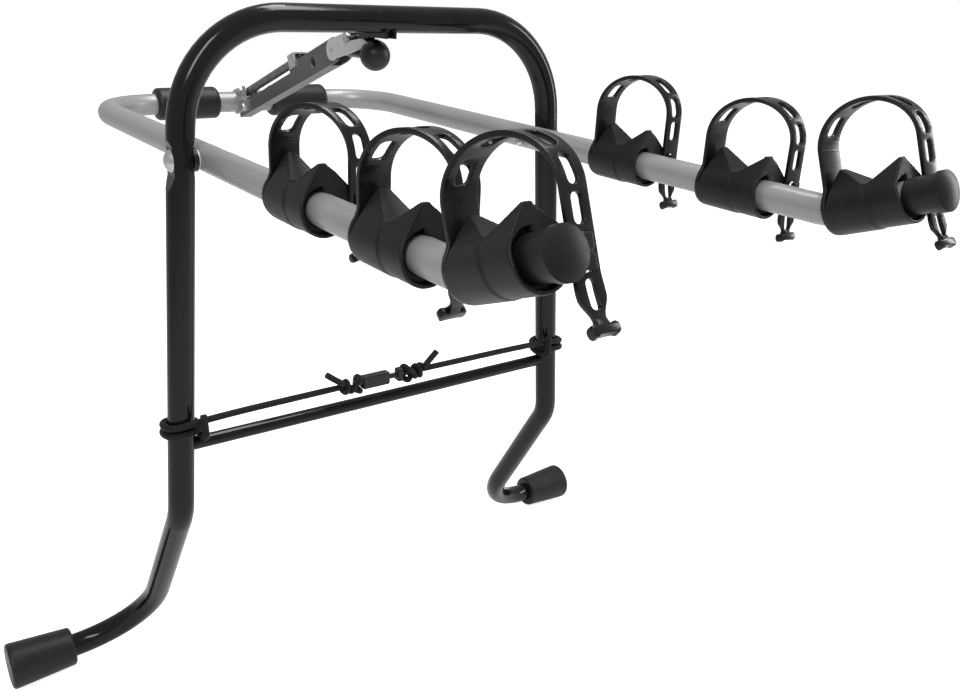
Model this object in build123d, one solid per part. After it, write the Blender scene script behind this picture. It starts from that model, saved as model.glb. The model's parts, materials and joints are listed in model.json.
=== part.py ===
from build123d import *
import math
import os

# A folding hatch carrier for three bicycles, in millimetres.
# X runs across the vehicle, +Y points to the vehicle and +Z is up.
# The origin lies midway between the two feet, on the line that they rest on.

# Tubes
tube_diameter = 30.0
tube_wall = 1.5
crossbar_diameter = 16.0
crossbar_wall = 1.5

# The black frame, given by the corners of its bent centre line
frame_lead = 166.0
top_bar_height = 836.0
top_half_width = 237.0
upright_splay_deg = 4.31
top_bend_radius = 118.0
leg_bend_height = 282.0
leg_bend_radius = 55.0
foot_corner_half_width = 287.0
foot_bend_radius = 105.0
crossbar_height = 368.0

# Rubber feet
foot_length = 79.0
foot_outer_half_span = 466.0
foot_inner_diameter = 50.0
foot_outer_diameter = 60.0
foot_end_wall = 8.0
foot_edge_round = 4.0

# The folding arms and their base
pivot_drop = 143.0
arm_half_width = 217.0
arm_toe_deg = 0.34
arm_drop_deg = 1.0
base_reach = 427.4
base_bend_radius = 86.0
tip_reach = 463.0
tip_rise_deg = 20.0
tip_length = 110.0
tip_bend_radius = 60.0

# Rubber sleeves on the base
sleeve_diameter = 46.0
sleeve_start = 42.0
sleeve_length = 92.0
sleeve_edge_round = 6.0

# Pivots of the arms
pivot_bolt_diameter = 10.0
upright_crush = 4.0
arm_crush = 2.5
crush_length = 30.0
crush_run_out = 14.0
pivot_head_diameter = 24.0
pivot_head_height = 6.5
pivot_bolt_tail = 3.0
spacer_diameter = 25.0
nylon_diameter = 22.0
nylon_thickness = 2.0
nut_across_flats = 17.0
nut_thickness = 9.0
running_fit = 0.08
side_clearance = 0.3
seat_clearance = 0.1

# The cradles of each arm: the place, the height of the strap's arch, the drop
# of its tail and the height of the horns. The first is placed from the pivot,
# the second back from the tip's corner and the third from that corner up the tip.
right_cradles = ((179.0, 54.0, 46.0, 40.0), (115.0, 49.5, 46.0, 39.0), (41.0, 54.5, 46.0, 36.5))
left_cradles = ((221.0, 43.0, 43.5, 40.0), (83.5, 45.0, 46.0, 40.0), (47.5, 43.5, 52.0, 36.0))

# Rubber cradles
collar_diameter = 47.0
collar_length = 78.0
collar_step = 0.9
collar_step_place = -6.0
collar_mouth_diameter = 41.0
collar_mouth_depth = 8.0
collar_relief_diameter = 33.0
collar_relief_depth = 14.0
horn_top_width = 7.0
horn_top_length = 3.0
rear_apex_inset = 17.5
rear_gap_height = 2.0
valley_height = 17.5
valley_round = 9.0

# Straps of the cradles
strap_thickness = 4.4
strap_root_left = -19.5
strap_root_right = 13.5
strap_root_depth = 14.0
strap_end_centre = 34.0
strap_end_width = 22.0
strap_neck_width = 10.0
strap_grip_width = 20.0
strap_grip_height = 7.0
strap_slot_length = 20.0
strap_slot_width = 9.0
strap_slot_drop = 15.0
strap_slot_angles = (17.0, 55.0, 112.0, 146.0)
tail_slot_drop = 25.5
tail_slot_length = 17.0
tail_slot_width = 7.2
peg_slot_length = 25.0
peg_slot_width = 9.6
peg_slot_place = -1.5

# The peg that holds a strap
peg_ear_depth = 12.0
peg_ear_height = 25.0
peg_neck_height = 9.5
peg_neck_width = 5.4
peg_head_height = 13.5
peg_head_width = 7.0
peg_head_thickness = 3.2

# End caps of the arms
cap_diameter = 36.5
cap_dome = 4.0
cap_rim = 5.5
cap_plug_length = 20.0
cap_sleeve_diameter = 33.0
cap_sleeve_length = 28.0

# The brace
brace_offset = -9.0
channel_width = 17.0
channel_depth = 30.0
channel_wall = 2.0
channel_low_depth = 19.0
channel_low_end = 196.0
rod_diameter = 11.5
rod_offset = 9.0
rod_start = 22.0
rod_length = 190.0
clip_start = 4.0
clip_length = 20.0
clip_thickness = 2.0
clip_side_depth = 8.0
lightening_hole_diameter = 13.0
lightening_hole_place = 268.0
latch_pivot_diameter = 8.0
latch_slot_length = 17.0

# The zinc strap round the base
base_strap_thickness = 3.0
base_strap_margin = 8.0
base_strap_low_margin = 3.0
base_nut_across_flats = 10.0
base_nut_thickness = 4.5
base_bolt_diameter = 6.0
base_bolt_place = 30.0

# The latch and its lever
latch_plate_thickness = 3.0
latch_plate_radius = 13.0
latch_side_gap = 0.3
catch_pin_diameter = 8.0
catch_clearance = 0.5
hook_wall_deg = 145.0
hook_wall_length = 14.0
hook_floor_deg = 8.0
hook_floor_length = 34.0
hook_prong_length = 17.0
hook_prong_fall = 4.0
hook_nose_length = 13.0
hook_nose_depth = 6.0
hook_heel_length = 36.0
hook_heel_depth = 12.0
catch_pin_reach = 41.0
catch_pin_rise = 17.0
catch_pin_back = 71.379
catch_pin_drop = 23.231
lever_rod_diameter = 12.0
lever_hub_diameter = 18.0
knob_diameter = 35.5
knob_reach = 87.4
knob_drop = 0.8

# The catch bracket under the top bar
bracket_thickness = 3.0
bracket_half_width = 7.0
bracket_drop = 5.8
bracket_front = 12.0
bracket_back = 10.0
bracket_tuck = 12.0
bracket_pin_margin = 7.0
bracket_pin_low = 5.0
bracket_slope_start = 25.0
bracket_slope_end = 37.0
bracket_web_drop = 1.0
catch_head_diameter = 12.0
catch_head_thickness = 3.0

# The elastic cords between the uprights, and their hooks
cord_diameter = 8.0
cord_upright_gap = 0.4
wrap_height = 398.0
wrap_pitch = 9.4
cord_height = 405.0
cord_crossing_gap = 1.2
cord_end_rise = 32.0
cord_end_bend = 8.4
left_knot_x = 70.0
left_neck_x = 51.0
left_tail_x = 27.0
right_knot_x = 36.0
right_neck_x = 17.0
right_tail_x = 12.0
knot_reach = 5.2
knot_turn_shift = 3.4
tail_rise = 22.0
tail_bend = 16.0
hook_neck_diameter = 7.0
hook_body_depth = 12.0
hook_body_height = 17.0
hook_edge_round = 2.5
left_body_end = -8.0
right_hook_length = 9.0
hook_bite = 12.0
hook_flange_thickness = 2.0
hook_flange_height = 1.5

tube_radius = tube_diameter / 2
bore_radius = tube_radius - tube_wall
frame_y = -frame_lead
pivot_height = top_bar_height - pivot_drop
foot_axis_height = foot_outer_diameter / 2
splay = math.tan(math.radians(upright_splay_deg))


def upright_half_width(height):
    """Half the width between the uprights' axes at a height."""
    return top_half_width + splay * (top_bar_height - height)


def bent_route(corners, radii):
    """A wire of straight runs joined by round bends."""
    points = [Vector(*corner) for corner in corners]
    edges = []
    start = points[0]
    for before, corner, after, radius in zip(points, points[1:], points[2:], radii):
        inward = (before - corner).normalized()
        outward = (after - corner).normalized()
        half_angle = math.radians(inward.get_angle(outward) / 2)
        reach = radius / math.tan(half_angle)
        middle_line = (inward + outward).normalized()
        first = corner + inward * reach
        last = corner + outward * reach
        middle = corner + middle_line * (radius / math.sin(half_angle) - radius)
        edges.append(Line(start, first))
        edges.append(ThreePointArc(first, middle, last))
        start = last
    edges.append(Line(start, points[-1]))
    return Wire(edges)


def round_bar(route, radius):
    """A round solid swept along a route."""
    section = Plane(origin=route @ 0, z_dir=route % 0) * Circle(radius)
    return sweep(section, path=route)


def dome_cap(radius, height):
    """A shallow dome that stands on the XY plane."""
    ball = (radius ** 2 + height ** 2) / (2 * height)
    return Pos(0, 0, height - ball) * Sphere(ball) & Pos(0, 0, radius) * Box(4 * ball, 4 * ball, 2 * radius)


def mirrored(solid):
    """The same solid on the other side of the carrier."""
    return mirror(solid, about=Plane.YZ)


def across(x_from, x_to, y, z, radius):
    """A round bar along X between two places."""
    low = min(x_from, x_to)
    bar = extrude(Circle(radius), abs(x_to - x_from))
    return Pos(low, y, z) * Rot(0, 90, 0) * bar


def crush_block(centre_x, half_thickness, side):
    """What a press takes from one side of a tube at the pivot."""
    outside = tube_diameter
    flat = crush_length / 2
    open_end = flat + crush_run_out
    near = centre_x + side * half_thickness
    far = centre_x + side * outside
    slope_x = centre_x + side * (tube_radius + 1)
    outline = Polyline(
        (near, -flat), (near, flat), (slope_x, open_end),
        (far, open_end), (far, -open_end), (slope_x, -open_end), close=True)
    return make_face(outline)


def crushed(solid, centre_x, half_thickness, plane):
    """A tube pressed flat on both sides of the pivot."""
    for side in (-1, 1):
        block = extrude(plane * crush_block(centre_x, half_thickness, side), tube_diameter, both=True)
        solid = solid - block
    return solid


def named(solid, name, colour):
    """Give a node its name and display colour."""
    solid.label = name
    solid.color = Color(*colour)
    return solid


black = (0.05, 0.05, 0.06)
rubber = (0.10, 0.10, 0.10)
silver = (0.62, 0.63, 0.64)
zinc = (0.75, 0.75, 0.72)
dark_grey = (0.22, 0.22, 0.24)
white = (0.92, 0.92, 0.90)
nodes = {}

# The black frame: one bent tube from foot to foot, crushed where the arms turn
foot_tube_end = foot_outer_half_span - foot_end_wall
half_corners = [
    (foot_tube_end, 0, foot_axis_height),
    (foot_corner_half_width, 0, foot_axis_height),
    (upright_half_width(leg_bend_height), frame_y, leg_bend_height),
    (top_half_width, frame_y, top_bar_height)]
other_corners = [(-x, y, z) for x, y, z in reversed(half_corners)]
half_radii = [foot_bend_radius, leg_bend_radius, top_bend_radius]
frame_route = bent_route(half_corners + other_corners, half_radii + half_radii[::-1])
pivot_upright_x = upright_half_width(pivot_height)
upright_plane = Plane(origin=(0, frame_y, pivot_height), x_dir=(1, 0, 0), z_dir=(0, -1, 0))
upright_flat = tube_radius - upright_crush
frame_outside = round_bar(frame_route, tube_radius)
frame_bore = round_bar(frame_route, bore_radius)
for side in (-1, 1):
    centre_x = side * pivot_upright_x
    frame_outside = crushed(frame_outside, centre_x, upright_flat, upright_plane)
    frame_bore = crushed(frame_bore, centre_x, upright_flat - tube_wall, upright_plane)
frame_bolt_hole = across(
    -top_half_width * 2, top_half_width * 2, frame_y, pivot_height, pivot_bolt_diameter / 2 + seat_clearance)
main_frame = frame_outside - frame_bore - frame_bolt_hole
nodes["main_frame"] = (main_frame, black)

# The crossbar between the uprights, coped to them
crossbar_end = upright_half_width(crossbar_height)
crossbar = across(-crossbar_end, crossbar_end, frame_y, crossbar_height, crossbar_diameter / 2)
crossbar = crossbar - across(
    -crossbar_end, crossbar_end, frame_y, crossbar_height, crossbar_diameter / 2 - crossbar_wall)
nodes["crossbar"] = (crossbar - frame_outside, black)

# Cone shaped rubber feet, each with a blind bore for the tube's end
foot_inner_x = foot_outer_half_span - foot_length
foot = Solid.make_cone(foot_inner_diameter / 2, foot_outer_diameter / 2, foot_length)
foot = fillet(foot.edges().filter_by(GeomType.CIRCLE), foot_edge_round)
foot = Pos(foot_inner_x, 0, foot_axis_height) * Rot(0, 90, 0) * foot
foot = foot - across(
    foot_inner_x - 1, foot_tube_end + seat_clearance, 0, foot_axis_height, tube_radius + seat_clearance)
nodes["foot_right"] = (foot, rubber)
nodes["foot_left"] = (mirrored(foot), rubber)

# The arms: one bent tube from tip to tip round the base
arm_drop = math.tan(math.radians(arm_drop_deg))
arm_toe = math.tan(math.radians(arm_toe_deg))


def arm_point(reach):
    """A place on the right arm's axis, reach being towards the vehicle."""
    return (arm_half_width + arm_toe * reach, frame_y + reach, pivot_height + arm_drop * reach)


base_corner = arm_point(base_reach)
base_y = base_corner[1]
base_z = base_corner[2]
tip_corner = arm_point(-tip_reach)
tip_rise = math.radians(tip_rise_deg)
tip_end = (
    tip_corner[0], tip_corner[1] - tip_length * math.cos(tip_rise), tip_corner[2] + tip_length * math.sin(tip_rise))
arm_corners = [tip_end, tip_corner, base_corner]
arm_route = bent_route(
    arm_corners + [(-x, y, z) for x, y, z in reversed(arm_corners)],
    [tip_bend_radius, base_bend_radius, base_bend_radius, tip_bend_radius])
arm_flat = tube_radius - arm_crush
arm_plane = Plane(
    origin=(0, frame_y, pivot_height), x_dir=(1, 0, 0), z_dir=(0, -arm_drop, 1))
arm_outside = round_bar(arm_route, tube_radius)
arm_bore = round_bar(arm_route, bore_radius)
for side in (-1, 1):
    arm_outside = crushed(arm_outside, side * arm_half_width, arm_flat, arm_plane)
    arm_bore = crushed(arm_bore, side * arm_half_width, arm_flat - tube_wall, arm_plane)
arm_bolt_hole = across(
    -top_half_width * 2, top_half_width * 2, frame_y, pivot_height, pivot_bolt_diameter / 2 + running_fit)
carrier_arms = arm_outside - arm_bore - arm_bolt_hole
nodes["carrier_arms"] = (carrier_arms, silver)

# Pivot bolts, spacer collars, nylon washers and nuts
upright_inner_x = pivot_upright_x - upright_flat
upright_outer_x = pivot_upright_x + upright_flat
arm_outer_x = arm_half_width + arm_flat
arm_inner_x = arm_half_width - arm_flat
spacer_thickness = upright_inner_x - arm_outer_x - nylon_thickness - side_clearance
nut_outer_x = arm_inner_x - side_clearance
nut_inner_x = nut_outer_x - nut_thickness
bolt_radius = pivot_bolt_diameter / 2


def at_pivot(x_from, x_to, radius):
    """A round bar on the pivots' axis."""
    return across(x_from, x_to, frame_y, pivot_height, radius)


head = Pos(upright_outer_x, frame_y, pivot_height) * Rot(0, 90, 0) * dome_cap(
    pivot_head_diameter / 2, pivot_head_height)
pivot_bolt = head + at_pivot(nut_inner_x - pivot_bolt_tail, upright_outer_x + 1, bolt_radius)
nut = extrude(RegularPolygon(nut_across_flats / 2, 6, major_radius=False), nut_thickness)
nut = Pos(nut_inner_x, frame_y, pivot_height) * Rot(0, 90, 0) * nut
nut = nut - at_pivot(nut_inner_x - 1, nut_outer_x + 1, bolt_radius)
spacer_inner_x = upright_inner_x - spacer_thickness
spacer = at_pivot(spacer_inner_x, upright_inner_x, spacer_diameter / 2)
spacer = spacer - at_pivot(spacer_inner_x - 1, upright_inner_x + 1, bolt_radius + seat_clearance)
nylon_outer_x = spacer_inner_x
nylon_inner_x = nylon_outer_x - nylon_thickness
nylon = at_pivot(nylon_inner_x, nylon_outer_x, nylon_diameter / 2)
nylon = nylon - at_pivot(nylon_inner_x - 1, nylon_outer_x + 1, bolt_radius + seat_clearance)
nodes["pivot_bolts"] = (Compound([pivot_bolt, mirrored(pivot_bolt)]), zinc)
nodes["pivot_nuts"] = (Compound([nut, mirrored(nut)]), zinc)
nodes["pivot_spacers"] = (Compound([spacer, mirrored(spacer)]), rubber)
nodes["nylon_washers"] = (Compound([nylon, mirrored(nylon)]), white)

# Rubber sleeves that lie against the vehicle
sleeve = across(sleeve_start, sleeve_start + sleeve_length, base_y, base_z, sleeve_diameter / 2)
sleeve = fillet(sleeve.edges().filter_by(GeomType.CIRCLE), sleeve_edge_round)
sleeve = sleeve - across(
    sleeve_start - 1, sleeve_start + sleeve_length + 1, base_y, base_z, tube_radius + seat_clearance)
nodes["sleeve_right"] = (sleeve, rubber)
nodes["sleeve_left"] = (mirrored(sleeve), rubber)

# End caps of the arms, made along +Z and turned to the tips
cap = extrude(Circle(cap_diameter / 2), cap_rim)
dome = Pos(0, 0, cap_rim) * dome_cap(cap_diameter / 2, cap_dome)
cap = cap + dome + Pos(0, 0, -cap_plug_length) * extrude(Circle(bore_radius - seat_clearance), cap_plug_length)
sleeve_ring = Circle(cap_sleeve_diameter / 2) - Circle(tube_radius + seat_clearance)
cap = cap + Pos(0, 0, -cap_sleeve_length) * extrude(sleeve_ring, cap_sleeve_length)
tip_plane = Plane(origin=tip_end, x_dir=(1, 0, 0), z_dir=(0, -math.cos(tip_rise), math.sin(tip_rise)))
end_cap = tip_plane.location * cap
nodes["end_cap_right"] = (end_cap, rubber)
nodes["end_cap_left"] = (mirrored(end_cap), rubber)

# The cradles. Each is made round the origin: local +Y runs along the arm to
# the vehicle and local +Z stands away from the arm.
collar_radius = collar_diameter / 2
collar_half = collar_length / 2
strap_front = -collar_half - side_clearance - strap_thickness
strap_rear = collar_half + strap_thickness / 2
arch_centre = (strap_front + strap_rear) / 2
arch_outer = (strap_rear - strap_front) / 2
arch_inner = arch_outer - strap_thickness
arch_middle = arch_outer - strap_thickness / 2
past_cradle = 8 * arch_outer
side_plane = Plane(origin=(0, 0, 0), x_dir=(0, 1, 0), z_dir=(1, 0, 0))
front_plane = Plane(origin=(0, 0, 0), x_dir=(1, 0, 0), z_dir=(0, -1, 0))
strap_end_left = strap_end_centre - strap_end_width / 2
strap_end_right = strap_end_centre + strap_end_width / 2
strap_root_centre = (strap_root_left + strap_root_right) / 2
strap_lean_deg = math.degrees(math.atan2(strap_end_centre - strap_root_centre, strap_rear - strap_front))


def along_arm(y_from, y_to, radius):
    """A round bar along local Y."""
    bar = extrude(Circle(radius), abs(y_to - y_from))
    return Pos(0, max(y_from, y_to), 0) * Rot(90, 0, 0) * bar


def horn_section(horn_height):
    """The horns seen along the arm, with sides that touch the collar's round."""
    half_top = horn_top_width / 2
    peak_angle = math.atan2(horn_height, half_top)
    touch_angle = peak_angle - math.acos(collar_radius / math.hypot(half_top, horn_height))
    touch_x = collar_radius * math.cos(touch_angle)
    touch_z = collar_radius * math.sin(touch_angle)
    return make_face(Polyline(
        (-half_top, horn_height), (half_top, horn_height), (touch_x, touch_z), (-touch_x, touch_z), close=True))


def cradle_side(horn_height):
    """The cradle seen from the side: two horns, a rounded valley and a gap before the strap."""
    low = -collar_radius * 2
    gap_foot = collar_half - strap_thickness / 2 - seat_clearance
    front_apex = -collar_half + horn_top_length
    rear_apex = collar_half - rear_apex_inset - horn_top_length / 2
    valley = (front_apex + rear_apex) / 2
    outline = make_face(Polyline(
        (-collar_half, low), (-collar_half, horn_height), (front_apex, horn_height), (valley, valley_height),
        (rear_apex, horn_height), (rear_apex + horn_top_length, horn_height), (gap_foot, rear_gap_height),
        (collar_half, rear_gap_height), (collar_half, low), close=True))
    corner = outline.vertices().sort_by_distance((valley, valley_height, 0))[0]
    return fillet(corner, valley_round)


def strap_profile(arch_height, tail_drop):
    """The strap seen from the side, as a band of even thickness."""
    outside = Pos(arch_centre, arch_height) * Circle(arch_outer)
    inside = Pos(arch_centre, arch_height) * Circle(arch_inner)
    ring = outside - inside
    upper = Pos(arch_centre, arch_height + arch_outer) * Rectangle(4 * arch_outer, 2 * arch_outer)
    ring = ring & upper
    front_height = arch_height + tail_drop + strap_grip_height / 2
    front = Pos(strap_front + strap_thickness / 2, arch_height - front_height / 2) * Rectangle(
        strap_thickness, front_height)
    rear_height = arch_height + strap_root_depth
    rear = Pos(strap_rear - strap_thickness / 2, arch_height - rear_height / 2) * Rectangle(
        strap_thickness, rear_height)
    return ring + front + rear


def strap_blank(arch_height, tail_drop):
    """The strap's band cut to its leaning outline from above."""
    band = extrude(side_plane * strap_profile(arch_height, tail_drop), past_cradle, both=True)
    plan = make_face(Polyline(
        (strap_root_left, strap_rear + 1), (strap_root_right, strap_rear + 1),
        (strap_end_right, strap_front - 1), (strap_end_left, strap_front - 1), close=True))
    return band & extrude(plan, past_cradle, both=True)


def band_centre(y):
    """The middle of the band's width at a local Y."""
    share = (strap_rear - y) / (strap_rear - strap_front)
    return strap_root_centre + share * (strap_end_centre - strap_root_centre)


def arch_slot(arch_height, angle_deg):
    """A slot cutter through the arch, the angle counted from the front."""
    angle = math.radians(angle_deg)
    y = arch_centre - arch_middle * math.cos(angle)
    z = arch_height + arch_middle * math.sin(angle)
    cutter = extrude(SlotOverall(strap_slot_length, strap_slot_width), strap_thickness * 2, both=True)
    cutter = Rot(0, 0, 90 + strap_lean_deg * math.sin(angle)) * cutter
    return Pos(band_centre(y), y, z) * Rot(90 - angle_deg, 0, 0) * cutter


def leg_slot(z, length, width):
    """A slot cutter through the strap's front leg."""
    cutter = extrude(SlotOverall(length, width), strap_thickness * 2, both=True)
    return Pos(strap_end_centre, strap_front + strap_thickness / 2, z) * Rot(90, 0, 0) * Rot(0, 0, 90) * cutter


def tail_outline(tail_drop):
    """The front leg seen from the front: a band, a taper and a grip bar."""
    wide = strap_end_width
    taper_top = -tail_slot_drop + tail_slot_length / 4
    neck = strap_neck_width / 2
    grip_top = -tail_drop + strap_grip_height / 2
    left = strap_end_centre - 5 * wide
    right = strap_end_centre + 5 * wide
    body = Polyline(
        (left, taper_top), (strap_end_centre - wide / 2, taper_top), (strap_end_centre - neck, grip_top - 1),
        (strap_end_centre + neck, grip_top - 1), (strap_end_centre + wide / 2, taper_top), (right, taper_top),
        (right, past_cradle), (left, past_cradle), close=True)
    grip = Pos(strap_end_centre, -tail_drop) * SlotOverall(strap_grip_width, strap_grip_height)
    return make_face(body) + grip


def strap_pieces(arch_height, tail_drop):
    """The strap that opens and its root, which is one with the cradle."""
    blank = strap_blank(arch_height, tail_drop)
    for angle in strap_slot_angles:
        blank = blank - arch_slot(arch_height, angle)
    blank = blank - leg_slot(arch_height - strap_slot_drop, strap_slot_length, strap_slot_width)
    blank = blank - leg_slot(peg_slot_place, peg_slot_length, peg_slot_width)
    blank = blank - leg_slot(-tail_slot_drop, tail_slot_length, tail_slot_width)
    moving_side = Pos(0, arch_centre - past_cradle / 2, 0) * Box(past_cradle, past_cradle, past_cradle)
    moving_band = blank & moving_side
    moving_band = moving_band & extrude(front_plane * tail_outline(tail_drop), past_cradle, both=True)
    half_roll = (strap_end_width + strap_root_right - strap_root_left) / 4
    roll_left = band_centre(arch_centre) - half_roll
    roll = Pos(roll_left, arch_centre, arch_height + arch_middle) * Rot(0, 90, 0) * extrude(
        Circle(strap_thickness / 2), 2 * half_roll)
    root_start = arch_centre + strap_thickness / 2 + side_clearance
    root_side = Pos(0, root_start + past_cradle / 2, 0) * Box(past_cradle, past_cradle, past_cradle)
    return moving_band + roll, blank & root_side


front_collar = along_arm(-collar_half, collar_step_place, collar_radius)
rear_collar = along_arm(collar_step_place, collar_half, collar_radius + collar_step)
ear_width = strap_end_centre + peg_head_width / 2
ear = Pos(ear_width / 2, -collar_half + peg_ear_depth / 2, 0) * Box(ear_width, peg_ear_depth, peg_ear_height)
peg_y = -collar_half - side_clearance * 2 - strap_thickness
peg_neck = Pos(strap_end_centre, (peg_y - collar_half) / 2, 0) * Box(
    peg_neck_width, -collar_half - peg_y + 0.02, peg_neck_height)
peg_head = Pos(strap_end_centre, peg_y - peg_head_thickness / 2, 0) * Box(
    peg_head_width, peg_head_thickness, peg_head_height)
bore = along_arm(-collar_half - 1, collar_half + collar_relief_depth, tube_radius + seat_clearance)
mouth = along_arm(-collar_half - 1, -collar_half + collar_mouth_depth, collar_mouth_diameter / 2)
relief = along_arm(collar_half - collar_relief_depth, collar_half + collar_relief_depth, collar_relief_diameter / 2)


def rubber_block(horn_height):
    """The collar with its two horns."""
    horns = extrude(front_plane * horn_section(horn_height), collar_half, both=True)
    block = front_collar + rear_collar + horns
    return block & extrude(side_plane * cradle_side(horn_height), collar_diameter, both=True)


def arm_place(reach, side):
    """Where a cradle sits on the straight part of one arm, side being 1 or -1."""
    x, y, z = arm_point(-reach)
    y_dir = Vector(side * arm_toe, 1, arm_drop).normalized()
    x_dir = Vector(1, -side * arm_toe, 0).normalized()
    return Plane(origin=(side * x, y, z), x_dir=x_dir, z_dir=x_dir.cross(y_dir)).location


def tip_place(reach, side):
    """Where the last cradle sits on the raised tip of one arm."""
    x, y, z = Vector(*tip_corner) + tip_direction * reach
    return Plane(origin=(side * x, y, z), x_dir=(1, 0, 0), z_dir=(0, math.sin(tip_rise), math.cos(tip_rise))).location


tip_direction = Vector(0, -math.cos(tip_rise), math.sin(tip_rise))
for side, side_name, cradles in ((1, "right", right_cradles), (-1, "left", left_cradles)):
    first, second, third = cradles
    places = [arm_place(first[0], side), arm_place(tip_reach - second[0], side), tip_place(third[0], side)]
    for number, (place, (reach, arch_height, tail_drop, horn_height)) in enumerate(zip(places, cradles), start=1):
        strap, strap_root = strap_pieces(arch_height, tail_drop)
        cradle = rubber_block(horn_height) + ear + peg_neck + peg_head + strap_root - bore - mouth - relief
        nodes[f"cradle_{side_name}_{number}"] = (place * cradle, rubber)
        nodes[f"strap_{side_name}_{number}"] = (place * strap, black)
        hinge = (place * Pos(0, arch_centre, arch_height + arch_middle)).position
        print(f"strap hinge {side_name} {number}:", [round(value, 2) for value in hinge])

# The brace is made in its own plane: local X runs from the base to the latch
# and local Y stands off the brace's upper side. The latch's pivot is placed
# from the catch pin, and that pin from the top bar.
latch_y = frame_y + catch_pin_back + catch_pin_reach
latch_z = top_bar_height - catch_pin_drop - catch_pin_rise
latch_run = base_y - latch_y
latch_climb = latch_z - base_z
latch_pivot_reach = math.sqrt(latch_run ** 2 + latch_climb ** 2 - brace_offset ** 2)
brace_rise = math.atan2(latch_climb, latch_run) - math.atan2(brace_offset, latch_pivot_reach)
brace_plane = Plane(
    origin=(0, base_y, base_z), x_dir=(0, -math.cos(brace_rise), math.sin(brace_rise)), z_dir=(-1, 0, 0))
channel_bottom = brace_offset - channel_depth / 2
channel_top = brace_offset + channel_depth / 2
channel_low_top = channel_bottom + channel_low_depth
pivot_spot = (latch_pivot_reach, brace_offset)


def brace_plate(face, half_width):
    """A solid of even width about the brace's middle plane."""
    return extrude(brace_plane * face, half_width, both=True)


def brace_pin(spot, radius, half_width):
    """A round bar across the brace."""
    return brace_plate(Pos(*spot) * Circle(radius), half_width)


end_round = channel_depth / 2
low_part = Pos(channel_low_end / 2, (channel_bottom + channel_low_top) / 2) * Rectangle(
    channel_low_end, channel_low_depth)
high_part = Pos((channel_low_end + latch_pivot_reach) / 2, brace_offset) * Rectangle(
    latch_pivot_reach - channel_low_end, channel_depth)
side_face = low_part + high_part + Pos(*pivot_spot) * Circle(end_round)
tube_clearance = tube_radius + side_clearance
side_face = side_face - Circle(tube_clearance)
channel = brace_plate(side_face, channel_width / 2)
hollow_outline = Pos(latch_pivot_reach / 2, channel_bottom + channel_wall + channel_depth) * Rectangle(
    latch_pivot_reach * 3, channel_depth * 2)
channel = channel - brace_plate(hollow_outline, channel_width / 2 - channel_wall)
channel = channel - brace_pin((lightening_hole_place, brace_offset), lightening_hole_diameter / 2, channel_width)
channel = channel - brace_pin(pivot_spot, latch_pivot_diameter / 2 + running_fit, channel_width)
channel = channel - brace_plate(
    Pos(latch_pivot_reach - latch_slot_length + channel_depth, brace_offset) * Rectangle(
        2 * channel_depth, 4 * channel_depth), channel_width / 2 - channel_wall)

# The rod above the channel and the clip that holds its upper end
rod_end = rod_start + rod_length
rod = Pos(rod_start, rod_offset, 0) * Rot(0, 90, 0) * extrude(Circle(rod_diameter / 2), rod_length)
rod = brace_plane.location * rod
bolt_hole_radius = base_bolt_diameter / 2 + seat_clearance
rod_bolt_spot = (base_bolt_place, rod_offset)
low_bolt_spot = (base_bolt_place, channel_bottom + channel_low_depth / 2)
rod = rod - brace_pin(rod_bolt_spot, bolt_hole_radius, channel_width)
nodes["brace_rod"] = (rod, zinc)
rod_top = rod_offset + rod_diameter / 2 + seat_clearance
clip_bottom = channel_top - clip_side_depth
clip_middle = channel_low_end + clip_start + clip_length / 2
clip_face = Pos(clip_middle, (clip_bottom + rod_top + clip_thickness) / 2) * Rectangle(
    clip_length, rod_top + clip_thickness - clip_bottom)
clip_gap = Pos(clip_middle, (clip_bottom + rod_top - channel_depth) / 2) * Rectangle(
    clip_length * 2, rod_top - clip_bottom + channel_depth)
clip = brace_plate(clip_face, channel_width / 2 + clip_thickness) - brace_plate(clip_gap, channel_width / 2)
nodes["rod_clip"] = (clip, zinc)

# The zinc strap round the base, with its two bolts and nuts
strap_inner = tube_radius + side_clearance
strap_outer = strap_inner + base_strap_thickness
cheek_half_width = channel_width / 2 + base_strap_thickness
cheek_end = base_bolt_place + base_strap_margin
cheek_low = channel_bottom + base_strap_low_margin
cheek_face = Polyline(
    (0, -strap_outer), (cheek_end, cheek_low), (cheek_end, rod_top), (0, strap_outer), close=True)
cheek_face = make_face(cheek_face) + Circle(strap_outer) - Circle(strap_inner)
cheeks = brace_plate(cheek_face, cheek_half_width)
between = Pos(cheek_end, 0) * Rectangle(2 * cheek_end, 4 * strap_outer)
cheeks = cheeks - brace_plate(between, channel_width / 2)
for spot in (rod_bolt_spot, low_bolt_spot):
    cheeks = cheeks - brace_pin(spot, bolt_hole_radius, channel_width)
nodes["base_strap"] = (cheeks, zinc)
nodes["brace_channel"] = (channel - brace_pin(low_bolt_spot, bolt_hole_radius, channel_width), dark_grey)
strap_bolts = []
strap_nuts = []
hexagon = RegularPolygon(base_nut_across_flats / 2, 6, major_radius=False)
half_space = 2 * channel_depth
keep_box = Box(2 * half_space, 2 * half_space, 2 * half_space)
for spot in (rod_bolt_spot, low_bolt_spot):
    shank = brace_pin(spot, base_bolt_diameter / 2, cheek_half_width + base_nut_thickness)
    bolt_head = brace_plate(Pos(*spot) * hexagon, cheek_half_width + base_nut_thickness)
    keep_head = brace_plane.location * Pos(*spot, cheek_half_width + half_space) * keep_box
    keep_nut = brace_plane.location * Pos(*spot, -cheek_half_width - half_space) * keep_box
    strap_bolts.append(shank + (bolt_head & keep_head))
    strap_nuts.append((bolt_head & keep_nut) - shank)
nodes["strap_bolts"] = (Compound(strap_bolts), zinc)
nodes["strap_nuts"] = (Compound(strap_nuts), zinc)

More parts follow.
